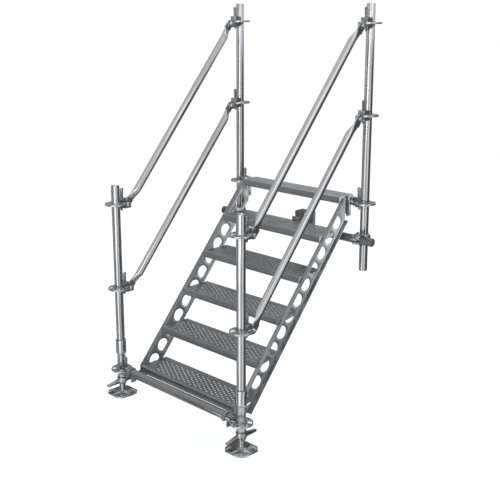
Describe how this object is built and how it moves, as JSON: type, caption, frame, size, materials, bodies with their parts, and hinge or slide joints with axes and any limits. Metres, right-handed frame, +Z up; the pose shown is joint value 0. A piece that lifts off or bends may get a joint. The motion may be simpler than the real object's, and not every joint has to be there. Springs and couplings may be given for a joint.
{
  "type": "scaffold stair",
  "caption": "Scaffold access stair: pierced steel treads between channel stringers hooked on tubular posts with guardrails, screw jacks and a wall bracket.",
  "frame": {"origin": "centre of the wall bracket's back face, level with the clamped tube", "axes": "+X to the right along the steps, +Y into the wall (the way one climbs), +Z up"},
  "size_m": [1.2, 1.1695, 2.258],
  "materials": {
    "tube": "galvanised, bright",
    "forged": "galvanised, rough",
    "stair": "galvanised, dull grey",
    "jack": "galvanised, satin"
  },
  "bodies": {
    "frame": {"left_front_post": "tube", "right_front_post": "tube", "left_rear_post": "tube", "right_rear_post": "tube", "left_base_collar": "tube", "right_base_collar": "tube", "front_ledger": "tube", "rear_ledger": "tube", "left_upper_rail": "tube", "left_lower_rail": "tube", "right_upper_rail": "tube", "right_lower_rail": "tube", "tie_tube": "tube", "left_collar_rosette": "forged", "right_collar_rosette": "forged", "left_front_rosettes": "forged", "right_front_rosettes": "forged", "left_rear_rosettes": "forged", "right_rear_rosettes": "forged", "left_front_rail_heads": "forged", "right_front_rail_heads": "forged", "left_rear_rail_heads": "forged", "right_rear_rail_heads": "forged", "left_rail_wedges": "forged", "right_rail_wedges": "forged", "front_ledger_wedges": "forged", "rear_ledger_wedges": "forged", "left_coupler": "forged", "right_coupler": "forged", "tie_caps": "forged", "bracket_clamp": "forged", "wall_bracket": "forged", "left_stringer": "stair", "right_stringer": "stair", "tread_1": "stair", "tread_2": "stair", "tread_3": "stair", "tread_4": "stair", "tread_5": "stair", "top_step": "stair", "left_front_hook": "stair", "right_front_hook": "stair", "left_rear_hook": "stair", "right_rear_hook": "stair"},
    "left_jack": {"left_base_jack": "jack"},
    "left_nut": {"left_wing_nut": "jack"},
    "right_jack": {"right_base_jack": "jack"},
    "right_nut": {"right_wing_nut": "jack"}
  },
  "joints": [
    {"name": "left_nut_turn", "type": "hinge", "parent": "frame", "child": "left_nut", "pos_m": [-0.545, -1.05, -0.854], "axis": [0, 0, 1], "range_deg": [-1980, 9000]},
    {"name": "left_jack_slide", "type": "slide", "parent": "frame", "child": "left_jack", "axis": [0, 0, -1], "range_m": [-0.044, 0.2]},
    {"name": "right_nut_turn", "type": "hinge", "parent": "frame", "child": "right_nut", "pos_m": [0.455, -1.05, -0.854], "axis": [0, 0, 1], "range_deg": [-1980, 9000]},
    {"name": "right_jack_slide", "type": "slide", "parent": "frame", "child": "right_jack", "axis": [0, 0, -1], "range_m": [-0.044, 0.2]}
  ],
  "couplings": [
    {"joint": "left_jack_slide", "follows": "left_nut_turn", "m_per_rad": 0.0012732},
    {"joint": "right_jack_slide", "follows": "right_nut_turn", "m_per_rad": 0.0012732}
  ]
}
